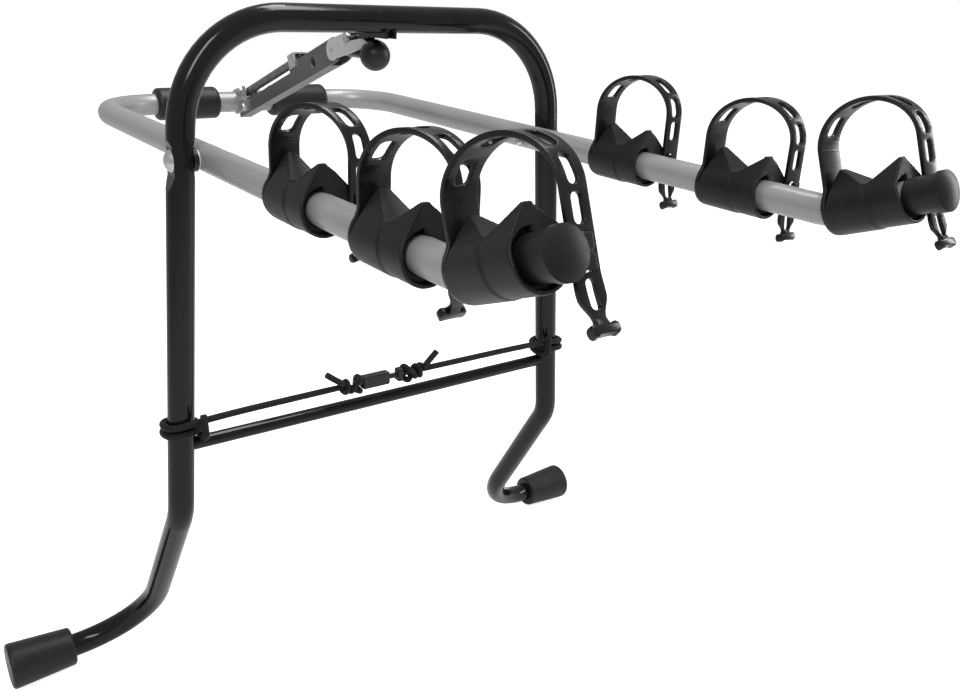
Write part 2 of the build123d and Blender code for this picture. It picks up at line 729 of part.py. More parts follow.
# The latch: two hooked plates, their pin, the lever and its knob. Its plane
# has local X pointing away from the vehicle and local Y upwards.
latch_plane = Plane(origin=(0, latch_y, latch_z), x_dir=(0, -1, 0), z_dir=(-1, 0, 0))


def latch_plate(face, half_width):
    """A solid of even width about the latch's middle plane."""
    return extrude(latch_plane * face, half_width, both=True)


def latch_bar(spot, radius, half_width):
    """A round bar across the latch."""
    return latch_plate(Pos(*spot) * Circle(radius), half_width)


catch_radius = catch_pin_diameter / 2
catch_spot = (catch_pin_reach, catch_pin_rise)
hook_angle = (hook_wall_deg + hook_floor_deg) / 2
hook_half_opening = math.radians((hook_wall_deg - hook_floor_deg) / 2)
hook_depth = (catch_radius + catch_clearance) / math.sin(hook_half_opening)
hook_x = catch_pin_reach - hook_depth * math.cos(math.radians(hook_angle))
hook_y = catch_pin_rise - hook_depth * math.sin(math.radians(hook_angle))


def from_hook(angle_deg, distance):
    """A place reached from the hook's corner."""
    angle = math.radians(angle_deg)
    return (hook_x + distance * math.cos(angle), hook_y + distance * math.sin(angle))


wall_top = from_hook(hook_wall_deg, hook_wall_length)
prong_top = from_hook(hook_floor_deg, hook_floor_length)
prong_tip = (prong_top[0] + hook_prong_length, prong_top[1] - hook_prong_fall)
plate_side = latch_plate_radius * math.sqrt(0.5)
hook_outline = make_face(Polyline(
    (0, latch_plate_radius), wall_top, (hook_x, hook_y), prong_top, prong_tip,
    (prong_tip[0] - hook_nose_length, prong_tip[1] - hook_nose_depth),
    (prong_tip[0] - hook_heel_length, prong_tip[1] - hook_heel_depth),
    (plate_side, -plate_side), (0, 0), close=True))
plate_face = hook_outline + Circle(latch_plate_radius)
plate_inner = channel_width / 2 + latch_side_gap
plate_outer = plate_inner + latch_plate_thickness
plates = latch_plate(plate_face, plate_outer) - latch_plate(
    Pos(prong_tip[0] / 2, 0) * Rectangle(4 * prong_tip[0], 4 * prong_tip[0]), plate_inner)
plates = plates - latch_bar((0, 0), latch_pivot_diameter / 2, plate_outer * 2)
nodes["latch_pin"] = (latch_bar((0, 0), latch_pivot_diameter / 2, plate_outer), zinc)
hub = latch_bar((0, 0), lever_hub_diameter / 2, channel_width / 2 - channel_wall - side_clearance)
knob_spot = Vector(knob_reach, -knob_drop, 0)
rod_line = Edge.make_line(latch_plane.from_local_coords(Vector(0, 0, 0)), latch_plane.from_local_coords(knob_spot))
lever = round_bar(Wire([rod_line]), lever_rod_diameter / 2) + hub
lever = lever - latch_bar((0, 0), latch_pivot_diameter / 2, plate_outer * 2)
knob_centre = latch_plane.from_local_coords(knob_spot)
knob_place = Pos(knob_centre.X, knob_centre.Y, knob_centre.Z)
knob = knob_place * Sphere(knob_diameter / 2)
nodes["lever_rod"] = (lever, black)
nodes["lever_knob"] = (knob - lever, black)
plates = plates - knob_place * Sphere(knob_diameter / 2 + seat_clearance)
nodes["latch_plates"] = (Compound(plates.solids()), zinc)

# The catch bracket welded under the top bar, and the pin that the latch hooks
bar_x = latch_y - frame_y
bar_bottom = top_bar_height - latch_z - tube_radius
bracket_low = bar_bottom - bracket_drop
pin_side_x = catch_pin_reach - bracket_pin_margin
pin_low_y = catch_pin_rise - bracket_pin_low
bracket_face = make_face(Polyline(
    (pin_side_x, pin_low_y), (pin_side_x, catch_pin_rise + bracket_pin_margin),
    (bar_x - bracket_back, bar_bottom + bracket_tuck), (bar_x + bracket_front, bar_bottom + bracket_tuck),
    (bar_x + bracket_front, bracket_low), (catch_pin_reach + bracket_slope_end, bracket_low),
    (catch_pin_reach + bracket_slope_start, pin_low_y), close=True))
web_start = catch_pin_reach + bracket_pin_margin
web_face = Pos((web_start + bar_x) / 2, bar_bottom - bracket_web_drop) * Rectangle(
    bar_x - web_start, bracket_thickness)
web_face = web_face & bracket_face
bracket = latch_plate(bracket_face, bracket_half_width) - latch_plate(
    bracket_face, bracket_half_width - bracket_thickness)
bracket = bracket + latch_plate(web_face, bracket_half_width)
bracket = bracket - latch_bar(catch_spot, catch_radius + seat_clearance, bracket_half_width * 2)
nodes["catch_bracket"] = (bracket - frame_outside, black)
head_start = plate_outer + latch_side_gap
catch_pin = latch_bar(catch_spot, catch_radius, head_start + catch_head_thickness)
catch_heads = latch_bar(catch_spot, catch_head_diameter / 2, head_start + catch_head_thickness)
catch_heads = catch_heads - latch_bar(catch_spot, catch_head_diameter, head_start)
nodes["catch_pin"] = (catch_pin + catch_heads, zinc)

# The elastic cords. Each winds twice round an upright above the crossbar and
# is tied to the neck of its plastic hook. The two hooks hold each other.
cord_radius = cord_diameter / 2
wrap_reach = tube_radius + cord_radius + cord_upright_gap
wrap_bend = wrap_reach * 0.97
cord_y = frame_y - wrap_reach
wrap_corners = ((-1, -1), (-1, 1), (1, 1), (1, -1), (-1, -1), (-1, 1), (1, 1))
neck_radius = hook_neck_diameter / 2
loop_reach = neck_radius + seat_clearance + cord_radius


def wound_cord(knot_x, side):
    """The route of a cord from its knot: a taut run, the turns and the crossing end."""
    points = [(side * knot_x, cord_y, cord_height)]
    height = wrap_height
    for inward, backward in wrap_corners:
        x = upright_half_width(height) - inward * wrap_reach
        points.append((side * x, frame_y + backward * wrap_reach, height))
        height = height - wrap_pitch / 4
    end_x = side * (upright_half_width(height) - wrap_reach)
    end_y = cord_y - cord_diameter - cord_crossing_gap
    points.append((end_x, end_y, height))
    points.append((end_x, end_y, height + cord_end_rise))
    return bent_route(points, [wrap_bend] * len(wrap_corners) + [cord_end_bend])


def ring(x, reach, radius):
    """A ring of cord in a plane square to X."""
    return Pos(x, cord_y, cord_height) * Rot(0, 90, 0) * Torus(reach, radius)


def tied_cord(route, knot_x, neck_x, tail_x, side):
    """A wound cord with its knot, its tail and its loop round the hook's neck."""
    knot = side * knot_x
    neck = side * neck_x
    cord = round_bar(route, cord_radius)
    for shift in (-knot_turn_shift, knot_turn_shift):
        cord = cord + ring(knot + shift, knot_reach, cord_radius)
    tail = bent_route(
        [(knot, cord_y, cord_height), (knot + side * tail_x / 3, cord_y - 2, cord_height + tail_rise / 2),
         (knot + side * tail_x, cord_y - 3, cord_height + tail_rise)], [tail_bend])
    link_z = cord_height - neck_radius - hook_flange_height - seat_clearance - cord_radius
    link = Wire([Line((knot, cord_y, link_z), (neck, cord_y, link_z))])
    cord = cord + round_bar(tail, cord_radius) + round_bar(link, cord_radius)
    return cord + ring(neck, loop_reach, cord_radius)


def least_gap(route):
    """The least gap between the turns of a wound cord, measured on points."""
    count = 400
    step = route.length / count
    spots = [route @ (number / count) for number in range(count + 1)]
    least = route.length
    for first in range(count):
        for second in range(first + 1, count + 1):
            if (second - first) * step > 4 * cord_diameter:
                least = min(least, (spots[second] - spots[first]).length)
    return least - cord_diameter


left_route = wound_cord(left_knot_x, -1)
right_route = wound_cord(right_knot_x, 1)
nodes["cord_left"] = (tied_cord(left_route, left_knot_x, left_neck_x, left_tail_x, -1), black)
nodes["cord_right"] = (tied_cord(right_route, right_knot_x, right_neck_x, right_tail_x, 1), black)
print("least gap between the cords' turns:", round(least_gap(left_route), 2), round(least_gap(right_route), 2))
print("cord lengths:", round(left_route.length, 1), round(right_route.length, 1))
print("cord bend radii:", round(wrap_bend, 2), cord_end_bend, tail_bend)


def on_cord_line(x_from, x_to, radius):
    """A round bar on the line of the two hooks."""
    return across(x_from, x_to, cord_y, cord_height, radius)


def hook_block(x_from, x_to):
    """The rounded body of a hook."""
    block = Pos((x_from + x_to) / 2, cord_y, cord_height) * Box(
        abs(x_to - x_from), hook_body_depth, hook_body_height)
    return fillet(block.edges(), hook_edge_round)


# The plastic hooks: the bar of the right one is caught in the left one's body
flange = cord_radius + side_clearance
left_neck_end = -left_neck_x - flange
left_body_start = -left_neck_x + flange
left_hook = hook_block(left_body_start, left_body_end) + on_cord_line(
    left_neck_end - hook_flange_thickness, left_body_start + 3, neck_radius)
left_hook = left_hook + on_cord_line(
    left_neck_end - hook_flange_thickness, left_neck_end, neck_radius + hook_flange_height)
left_hook = left_hook - on_cord_line(
    left_body_end - hook_bite - seat_clearance, left_body_end + 10, neck_radius + seat_clearance)
nodes["cord_hook_left"] = (left_hook, dark_grey)
right_neck_end = right_neck_x + flange
right_body_end = right_neck_x - flange
right_hook = hook_block(right_body_end - right_hook_length, right_body_end) + on_cord_line(
    left_body_end - hook_bite, right_neck_end + hook_flange_thickness, neck_radius)
right_hook = right_hook + on_cord_line(
    right_neck_end, right_neck_end + hook_flange_thickness, neck_radius + hook_flange_height)
nodes["cord_hook_right"] = (right_hook, dark_grey)

print("latch pivot:", round(latch_y, 3), round(latch_z, 3))
print("brace rise and reach:", round(math.degrees(brace_rise), 3), round(latch_pivot_reach, 3))
print("base axis:", round(base_y, 3), round(base_z, 3))

os.makedirs("parts", exist_ok=True)
for name, (solid, colour) in nodes.items():
    export_step(named(solid, name, colour), f"parts/{name}.step")
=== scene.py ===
import bmesh
import bpy
import json
import math
from collections import namedtuple
from mathutils import Matrix, Vector


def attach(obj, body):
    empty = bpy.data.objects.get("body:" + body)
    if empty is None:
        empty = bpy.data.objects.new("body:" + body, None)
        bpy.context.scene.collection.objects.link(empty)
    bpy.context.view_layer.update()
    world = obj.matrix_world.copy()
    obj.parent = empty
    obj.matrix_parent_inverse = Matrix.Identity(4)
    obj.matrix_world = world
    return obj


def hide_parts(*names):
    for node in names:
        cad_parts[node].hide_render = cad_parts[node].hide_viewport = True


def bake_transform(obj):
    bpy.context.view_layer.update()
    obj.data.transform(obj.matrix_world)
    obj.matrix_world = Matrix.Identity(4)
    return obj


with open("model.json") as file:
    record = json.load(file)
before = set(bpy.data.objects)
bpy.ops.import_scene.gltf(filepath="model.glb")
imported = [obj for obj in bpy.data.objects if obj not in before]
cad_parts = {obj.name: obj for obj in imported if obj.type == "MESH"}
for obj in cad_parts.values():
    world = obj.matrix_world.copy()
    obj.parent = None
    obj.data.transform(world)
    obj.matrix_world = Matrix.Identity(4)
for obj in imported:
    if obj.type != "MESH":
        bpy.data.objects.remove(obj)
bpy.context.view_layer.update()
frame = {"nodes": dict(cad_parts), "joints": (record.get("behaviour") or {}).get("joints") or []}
scene = bpy.context.scene
cad_nodes = frame["nodes"]


# The camera

camera_place = Vector((-0.57619, -1.13984, 0.86551))
camera_azimuth = math.radians(-36.75)
camera_elevation = math.radians(20.58)
camera_lean = math.radians(2.18)
focal_length = 35.07


def photo_camera():
    """The camera at the photograph's place, leaning a little to one side."""
    back = Vector((math.sin(camera_azimuth) * math.cos(camera_elevation),
                   -math.cos(camera_azimuth) * math.cos(camera_elevation),
                   math.sin(camera_elevation)))
    right = Vector((0, 0, 1)).cross(back).normalized()
    up = back.cross(right)
    level = right * math.cos(camera_lean) + up * math.sin(camera_lean)
    tilted = up * math.cos(camera_lean) - right * math.sin(camera_lean)
    data = bpy.data.cameras.new("photo_camera")
    data.sensor_width = 36
    data.lens = focal_length
    data.clip_end = 50
    camera = bpy.data.objects.new("photo_camera", data)
    turn = Matrix((level, tilted, back)).transposed().to_4x4()
    camera.matrix_world = Matrix.Translation(camera_place) @ turn
    scene.collection.objects.link(camera)
    scene.camera = camera


photo_camera()
scene.view_settings.view_transform = "Standard"


# Effects that several finishes share

def new_effect(name, inputs, outputs):
    """An empty effect with its named inputs and outputs."""
    group = bpy.data.node_groups.new(name, "ShaderNodeTree")
    for label, kind, value in inputs:
        socket = group.interface.new_socket(label, in_out="INPUT", socket_type=kind)
        if value is not None:
            socket.default_value = value
    for label, kind in outputs:
        group.interface.new_socket(label, in_out="OUTPUT", socket_type=kind)
    return group, group.nodes.new("NodeGroupInput"), group.nodes.new("NodeGroupOutput")


def add_node(tree, kind, settings=None, values=None, links=None):
    """A node with its settings, its constants and what feeds it."""
    node = tree.nodes.new(kind)
    for key, value in (settings or {}).items():
        setattr(node, key, value)
    for key, value in (values or {}).items():
        node.inputs[key].default_value = value
    for key, source in (links or {}).items():
        tree.links.new(source, node.inputs[key])
    return node


def make_mottle():
    """Slow cloudy variation between two colours, with its mask."""
    tree, given, result = new_effect("mottle", [
        ("Vector", "NodeSocketVector", None), ("Scale", "NodeSocketFloat", 20.0),
        ("Contrast", "NodeSocketFloat", 0.5), ("Dark", "NodeSocketColor", None),
        ("Light", "NodeSocketColor", None)],
        [("Color", "NodeSocketColor"), ("Mask", "NodeSocketFloat")])
    clouds = add_node(tree, "ShaderNodeTexNoise", None, {"Detail": 5.0, "Roughness": 0.6},
                      {"Vector": given.outputs["Vector"], "Scale": given.outputs["Scale"]})
    low = add_node(tree, "ShaderNodeMath", {"operation": "MULTIPLY_ADD"}, {1: 0.5, 2: 0.0},
                   {0: given.outputs["Contrast"]})
    high = add_node(tree, "ShaderNodeMath", {"operation": "SUBTRACT"}, {0: 1.0}, {1: low.outputs[0]})
    spread = add_node(tree, "ShaderNodeMapRange", None, None,
                      {"Value": clouds.outputs["Fac"], "From Min": low.outputs[0],
                       "From Max": high.outputs[0]})
    blend = add_node(tree, "ShaderNodeMix", {"data_type": "RGBA"}, None,
                     {0: spread.outputs["Result"], 6: given.outputs["Dark"], 7: given.outputs["Light"]})
    tree.links.new(blend.outputs[2], result.inputs["Color"])
    tree.links.new(spread.outputs["Result"], result.inputs["Mask"])
    return tree


def make_grain():
    """A fine grain of two sizes, as a normal."""
    tree, given, result = new_effect("grain", [
        ("Vector", "NodeSocketVector", None), ("Scale", "NodeSocketFloat", 400.0),
        ("Strength", "NodeSocketFloat", 0.2), ("Depth", "NodeSocketFloat", 0.0002)],
        [("Normal", "NodeSocketVector")])
    coarse = add_node(tree, "ShaderNodeTexNoise", None, {"Detail": 3.0},
                      {"Vector": given.outputs["Vector"], "Scale": given.outputs["Scale"]})
    finer = add_node(tree, "ShaderNodeMath", {"operation": "MULTIPLY"}, {1: 3.7},
                     {0: given.outputs["Scale"]})
    fine = add_node(tree, "ShaderNodeTexVoronoi", None, None,
                    {"Vector": given.outputs["Vector"], "Scale": finer.outputs[0]})
    both = add_node(tree, "ShaderNodeMath", {"operation": "MULTIPLY_ADD"}, {1: 0.35},
                    {0: fine.outputs["Distance"], 2: coarse.outputs["Fac"]})
    bump = add_node(tree, "ShaderNodeBump", None, None,
                    {"Strength": given.outputs["Strength"], "Distance": given.outputs["Depth"],
                     "Height": both.outputs[0]})
    tree.links.new(bump.outputs["Normal"], result.inputs["Normal"])
    return tree


def make_settled_dust():
    """A mask of dust that lies in patches on what faces up."""
    tree, given, result = new_effect("settled_dust", [
        ("Vector", "NodeSocketVector", None), ("Amount", "NodeSocketFloat", 0.2)],
        [("Mask", "NodeSocketFloat")])
    facing = add_node(tree, "ShaderNodeNewGeometry")
    axes = add_node(tree, "ShaderNodeSeparateXYZ", None, None, {0: facing.outputs["Normal"]})
    upward = add_node(tree, "ShaderNodeMapRange", None, {"From Min": 0.2, "From Max": 1.0},
                      {"Value": axes.outputs["Z"]})
    patches = add_node(tree, "ShaderNodeTexNoise", None, {"Scale": 60.0, "Detail": 6.0, "Roughness": 0.7},
                       {"Vector": given.outputs["Vector"]})
    thin = add_node(tree, "ShaderNodeMapRange", None, {"From Min": 0.45, "From Max": 0.75},
                    {"Value": patches.outputs["Fac"]})
    lying = add_node(tree, "ShaderNodeMath", {"operation": "MULTIPLY"}, None,
                     {0: upward.outputs["Result"], 1: thin.outputs["Result"]})
    mask = add_node(tree, "ShaderNodeMath", {"operation": "MULTIPLY"}, None,
                    {0: lying.outputs[0], 1: given.outputs["Amount"]})
    tree.links.new(mask.outputs[0], result.inputs["Mask"])
    return tree


def make_braid():
    """Crossing strands of a woven cover, from the piece's own UV map."""
    tree, given, result = new_effect("braid", [
        ("Vector", "NodeSocketVector", None), ("Along", "NodeSocketFloat", 200.0),
        ("Around", "NodeSocketFloat", 8.0)],
        [("Height", "NodeSocketFloat")])
    axes = add_node(tree, "ShaderNodeSeparateXYZ", None, None, {0: given.outputs["Vector"]})
    along = add_node(tree, "ShaderNodeMath", {"operation": "MULTIPLY"}, None,
                     {0: axes.outputs["X"], 1: given.outputs["Along"]})
    around = add_node(tree, "ShaderNodeMath", {"operation": "MULTIPLY"}, None,
                      {0: axes.outputs["Y"], 1: given.outputs["Around"]})
    waves = []
    for way in ("ADD", "SUBTRACT"):
        slanted = add_node(tree, "ShaderNodeMath", {"operation": way}, None,
                           {0: along.outputs[0], 1: around.outputs[0]})
        turned = add_node(tree, "ShaderNodeMath", {"operation": "MULTIPLY"}, {1: math.pi},
                          {0: slanted.outputs[0]})
        waves.append(add_node(tree, "ShaderNodeMath", {"operation": "SINE"}, None, {0: turned.outputs[0]}))
    crossed = add_node(tree, "ShaderNodeMath", {"operation": "MULTIPLY"}, None,
                       {0: waves[0].outputs[0], 1: waves[1].outputs[0]})
    raised = add_node(tree, "ShaderNodeMath", {"operation": "ABSOLUTE"}, None, {0: crossed.outputs[0]})
    tree.links.new(raised.outputs[0], result.inputs["Height"])
    return tree


mottle = make_mottle()
grain = make_grain()
settled_dust = make_settled_dust()
braid = make_braid()


def use_effect(tree, effect, values, links):
    """One effect placed in a material."""
    return add_node(tree, "ShaderNodeGroup", {"node_tree": effect}, values, links)


def rgb(red, green, blue):
    """A colour as a shader takes it."""
    return (red, green, blue, 1.0)


dust_colour = rgb(0.32, 0.30, 0.28)


def finish(name, dark, light, roughness, cloud=18.0, contrast=0.5, grain_size=500.0,
           grain_strength=0.15, depth=0.0002, dust=0.0, metallic=0.0, specular=0.5, coat=0.0, sheen=0.0):
    """A finish with cloudy colour and gloss, a fine grain and a little dust."""
    material = bpy.data.materials.new(name)
    material.use_nodes = True
    tree = material.node_tree
    shader = tree.nodes["Principled BSDF"]
    places = tree.nodes.new("ShaderNodeTexCoord").outputs["Object"]
    colour = use_effect(tree, mottle,
                        {"Scale": cloud, "Contrast": contrast, "Dark": dark, "Light": light},
                        {"Vector": places})
    surface = use_effect(tree, grain, {"Scale": grain_size, "Strength": grain_strength, "Depth": depth},
                         {"Vector": places})
    gloss = add_node(tree, "ShaderNodeMapRange", None, {"To Min": roughness[0], "To Max": roughness[1]},
                     {"Value": colour.outputs["Mask"]})
    base = colour.outputs["Color"]
    if dust:
        mask = use_effect(tree, settled_dust, {"Amount": dust}, {"Vector": places})
        over = add_node(tree, "ShaderNodeMix", {"data_type": "RGBA"}, {7: dust_colour},
                        {0: mask.outputs["Mask"], 6: base})
        base = over.outputs[2]
    tree.links.new(base, shader.inputs["Base Color"])
    tree.links.new(gloss.outputs["Result"], shader.inputs["Roughness"])
    tree.links.new(surface.outputs["Normal"], shader.inputs["Normal"])
    shader.inputs["Metallic"].default_value = metallic
    shader.inputs["Specular IOR Level"].default_value = specular
    shader.inputs["Coat Weight"].default_value = coat
    shader.inputs["Coat Roughness"].default_value = 0.08
    shader.inputs["Sheen Weight"].default_value = sheen
    return material


black_paint = finish(
    "black_gloss_paint", rgb(0.004, 0.004, 0.005), rgb(0.007, 0.007, 0.008), (0.12, 0.20), cloud=12.0,
    grain_size=160.0, grain_strength=0.06, depth=0.0002, specular=0.16, dust=0.01, coat=0.12)
silver_paint = finish(
    "silver_paint", rgb(0.25, 0.255, 0.252), rgb(0.30, 0.302, 0.296), (0.30, 0.40), cloud=9.0,
    grain_size=1600.0, grain_strength=0.08, depth=0.0001, metallic=0.25, dust=0.03)
grey_paint = finish(
    "dark_grey_paint", rgb(0.045, 0.045, 0.050), rgb(0.065, 0.065, 0.072), (0.34, 0.46), cloud=14.0,
    grain_size=500.0, grain_strength=0.12, dust=0.05)
zinc = finish(
    "zinc_plate", rgb(0.36, 0.36, 0.35), rgb(0.56, 0.56, 0.54), (0.20, 0.38), cloud=90.0,
    contrast=0.6, grain_size=700.0, grain_strength=0.2, metallic=0.9, dust=0.03)
latch_metal = finish(
    "satin_latch_plate", rgb(0.44, 0.44, 0.45), rgb(0.52, 0.52, 0.53), (0.34, 0.46), cloud=60.0,
    grain_size=900.0, grain_strength=0.12, metallic=0.35)
rod_metal = finish(
    "weathered_rod", rgb(0.08, 0.08, 0.08), rgb(0.20, 0.20, 0.19), (0.40, 0.62), cloud=160.0,
    contrast=0.7, grain_size=600.0, grain_strength=0.5, depth=0.0004, metallic=0.5)
rubber = finish(
    "moulded_rubber", rgb(0.005, 0.005, 0.0055), rgb(0.009, 0.0088, 0.0085), (0.36, 0.50), cloud=26.0,
    grain_size=900.0, grain_strength=0.22, depth=0.0002, dust=0.02, specular=0.22)
foot_rubber = finish(
    "foot_rubber", rgb(0.006, 0.006, 0.007), rgb(0.010, 0.010, 0.011), (0.36, 0.48), cloud=20.0,
    grain_size=800.0, grain_strength=0.25, dust=0.03, specular=0.28)
strap_rubber = finish(
    "strap_rubber", rgb(0.004, 0.004, 0.006), rgb(0.007, 0.0068, 0.0085), (0.20, 0.32), cloud=22.0,
    grain_size=700.0, grain_strength=0.08, depth=0.00005, dust=0.01, specular=0.30)
plastic = finish(
    "moulded_plastic", rgb(0.006, 0.006, 0.007), rgb(0.011, 0.011, 0.012), (0.28, 0.42), cloud=40.0,
    grain_size=1100.0, grain_strength=0.12, dust=0.01, specular=0.3)
knob_plastic = finish(
    "matt_knob_plastic", rgb(0.007, 0.007, 0.008), rgb(0.011, 0.011, 0.012), (0.36, 0.46), cloud=30.0,
    grain_size=1300.0, grain_strength=0.12, dust=0.01, specular=0.3)
nylon = finish("white_nylon", rgb(0.72, 0.72, 0.70), rgb(0.80, 0.80, 0.78), (0.35, 0.45), cloud=60.0)

finished_nodes = (
    (black_paint, ("main_frame", "crossbar", "catch_bracket", "lever_rod")),
    (silver_paint, ("carrier_arms",)),
    (grey_paint, ("brace_channel",)),
    (rod_metal, ("brace_rod",)),
    (zinc, ("rod_clip", "base_strap", "strap_bolts", "strap_nuts", "latch_pin", "catch_pin", "pivot_bolts",
            "pivot_nuts")),
    (latch_metal, ("latch_plates",)),
    (plastic, ("pivot_spacers", "cord_hook_left", "cord_hook_right")),
    (nylon, ("nylon_washers",)),
    (knob_plastic, ("lever_knob",)),
    (foot_rubber, ("foot_left", "foot_right", "sleeve_left", "sleeve_right")),
    (rubber, ("end_cap_left", "end_cap_right")))


def dress(node, material):
    """Give a CAD node its finish."""
    slots = cad_nodes[node].data.materials
    slots.clear()
    slots.append(material)


for material, node_names in finished_nodes:
    for node_name in node_names:
        dress(node_name, material)


# New pieces

def add_piece(name, mesh, body, material, replaced=()):
    """Show a mesh as a piece that rides on a body, or as a loose piece when no body is given."""
    mesh.name = name
    mesh.materials.clear()
    mesh.materials.append(material)
    piece = bpy.data.objects.new(name, mesh)
    scene.collection.objects.link(piece)
    if body:
        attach(piece, body)
    if replaced:
        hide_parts(*replaced)
    return piece


def shape_of(mesh):
    """A mesh opened for work."""
    shape = bmesh.new()
    shape.from_mesh(mesh)
    return shape


def put_back(shape, mesh):
    """Work that is done, written to its mesh."""
    shape.to_mesh(mesh)
    shape.free()


def mesh_of(shape, name):
    """Work that is done, as a new mesh."""
    mesh = bpy.data.meshes.new(name)
    put_back(shape, mesh)
    return mesh


def shade_smooth(mesh, angle):
    """Smooth shading that keeps the edges sharper than an angle."""
    mesh.shade_smooth()
    shape = shape_of(mesh)
    for edge in shape.edges:
        edge.smooth = len(edge.link_faces) == 2 and edge.calc_face_angle() < math.radians(angle)
    put_back(shape, mesh)


def finished_mesh(worked):
    """The mesh that an object's modifiers give, the object itself put away."""
    bpy.context.view_layer.update()
    shown = worked.evaluated_get(bpy.context.evaluated_depsgraph_get())
    done = bpy.data.meshes.new_from_object(shown)
    bpy.data.objects.remove(worked)
    return done


def loose_object(name, mesh):
    """An object in the scene that rides on nothing."""
    worked = bpy.data.objects.new(name, mesh)
    scene.collection.objects.link(worked)
    return worked


# The rubber cradles and their straps, each in its own frame: X across the arm, Y up the
# arm and Z up, from the middle of the tube under it

arm_splay = math.radians(0.34)
arm_slope = math.radians(1.0)
tip_turn = math.radians(20)
arch_y = -0.00125
arch_radius = 0.04025
strap_rear_y = 0.039
strap_front_y = -0.0415
strap_half_thickness = 0.0022
strap_lean = 0.08
ring_radius = 0.0240
ring_hole_radius = 0.0155
tail_curl_start = 0.014

Cradle = namedtuple("Cradle", "place arch_height strap_end tail_drop tail_curl horn_crest")
hinge_places = {joint["name"]: Vector(joint["pos_m"]) for joint in frame["joints"]}


def ramp(value, start, end):
    """Nothing at the start, one at the end and smooth between."""
    share = min(1.0, max(0.0, (value - start) / (end - start)))
    return share * share * (3 - 2 * share)


def cradle_place(name, side, on_tip, arch_height):
    """The matrix that takes a cradle's own frame to its place, worked out from its strap's hinge."""
    if on_tip:
        across = Vector((1, 0, 0))
        up = Vector((0, math.sin(tip_turn), math.cos(tip_turn)))
    else:
        arm = Vector((side * math.tan(arm_splay), 1, math.tan(arm_slope))).normalized()
        across = Vector((1, -side * math.tan(arm_splay), 0)).normalized()
        up = across.cross(arm)
    along = up.cross(across)
    foot = hinge_places[f"strap_{name}_open"] - along * arch_y - up * (arch_height + arch_radius)
    return Matrix.Translation(foot) @ Matrix((across, along, up)).transposed().to_4x4()


# Each row gives the side, whether it sits on the arm's turned-up tip, the height of the
# strap's arch, the middle of the strap's end, the drop and the forward curl of the strap's
# tail, and the height of the front horn.
cradles = {}
for cradle_name, side, on_tip, arch_height, strap_end, tail_drop, tail_curl, horn_crest in (
        ("left_1", -1, False, 0.0430, 0.034, 0.0435, 0.0050, 0.0400),
        ("left_2", -1, False, 0.0450, 0.034, 0.0530, -0.0160, 0.0400),
        ("left_3", -1, True, 0.0435, 0.036, 0.0520, 0.0085, 0.0360),
        ("right_1", 1, False, 0.0540, 0.034, 0.0460, 0.0085, 0.0400),
        ("right_2", 1, False, 0.0495, 0.036, 0.0460, 0.0040, 0.0390),
        ("right_3", 1, True, 0.0545, 0.034, 0.0460, 0.0060, 0.0365)):
    cradles[cradle_name] = Cradle(cradle_place(cradle_name, side, on_tip, arch_height), arch_height,
                                  strap_end, tail_drop, tail_curl, horn_crest)


# The cradles' own sizes

root_front_y = 0.03675
root_foot_z = 0.00205
root_top_z = 0.0425
block_rear_y = 0.03903
block_foot_z = -0.022
cut_reach = 0.07
cut_top_z = 0.12
cut_half_width = 0.06
shoulder_front_y = -0.0389
shoulder_rear_y = -0.0300
ear_edge_x = 0.0305
ear_foot_z = -0.006
peg_neck_half_width = 0.0030
peg_neck_depth = (-0.0455, -0.0360)
peg_neck_height = (-0.0055, 0.0045)
peg_head_half_width = 0.0048
peg_head_parts = (((-0.0468, -0.0442), (-0.0128, 0.0116)),
                  ((-0.0490, -0.0442), (-0.0128, -0.0019)),
                  ((-0.0490, -0.0442), (0.0007, 0.0116)))
mould_grid = 0.001
low_half_shift = 0.0055
low_half_heights = (0.018, -0.006)
low_half_widths = (0.030, 0.023)
rear_depths = (0.024, 0.037)


def push_out(shape, corners, push):
    """A straight-sided block from the corners of one face and the way it is pushed out."""
    first = [shape.verts.new(corner) for corner in corners]
    pushed = bmesh.ops.extrude_face_region(shape, geom=[shape.faces.new(first)])
    moved = [item for item in pushed["geom"] if isinstance(item, bmesh.types.BMVert)]
    bmesh.ops.translate(shape, verts=moved, vec=push)
    sides = list({side for corner in first + moved for side in corner.link_faces})
    bmesh.ops.recalc_face_normals(shape, faces=sides)
    return first + moved


def root_cutter(place):
    """The block that cuts the strap's root off a cradle."""
    outline = ((root_front_y, root_foot_z), (block_rear_y, root_foot_z), (block_rear_y, block_foot_z),
               (cut_reach, block_foot_z), (cut_reach, cut_top_z), (-cut_reach, cut_top_z),
               (-cut_reach, root_top_z), (root_front_y, root_top_z))
    shape = bmesh.new()
    push_out(shape, [(-cut_half_width, y, z) for y, z in outline], (2 * cut_half_width, 0, 0))
    cutter = loose_object("cutter", mesh_of(shape, "cutter"))
    cutter.matrix_world = place
    return cutter


def add_block(shape, cradle, half_width, depth, height):
    """A box across the strap's end, from its depth and height in the cradle's own frame."""
    made = bmesh.ops.create_cube(shape, size=1.0)["verts"]
    low = Vector((cradle.strap_end - half_width, depth[0], height[0]))
    high = Vector((cradle.strap_end + half_width, depth[1], height[1]))
    bmesh.ops.scale(shape, verts=made, vec=high - low)
    bmesh.ops.translate(shape, verts=made, vec=(low + high) / 2)
    bmesh.ops.transform(shape, verts=made, matrix=cradle.place)


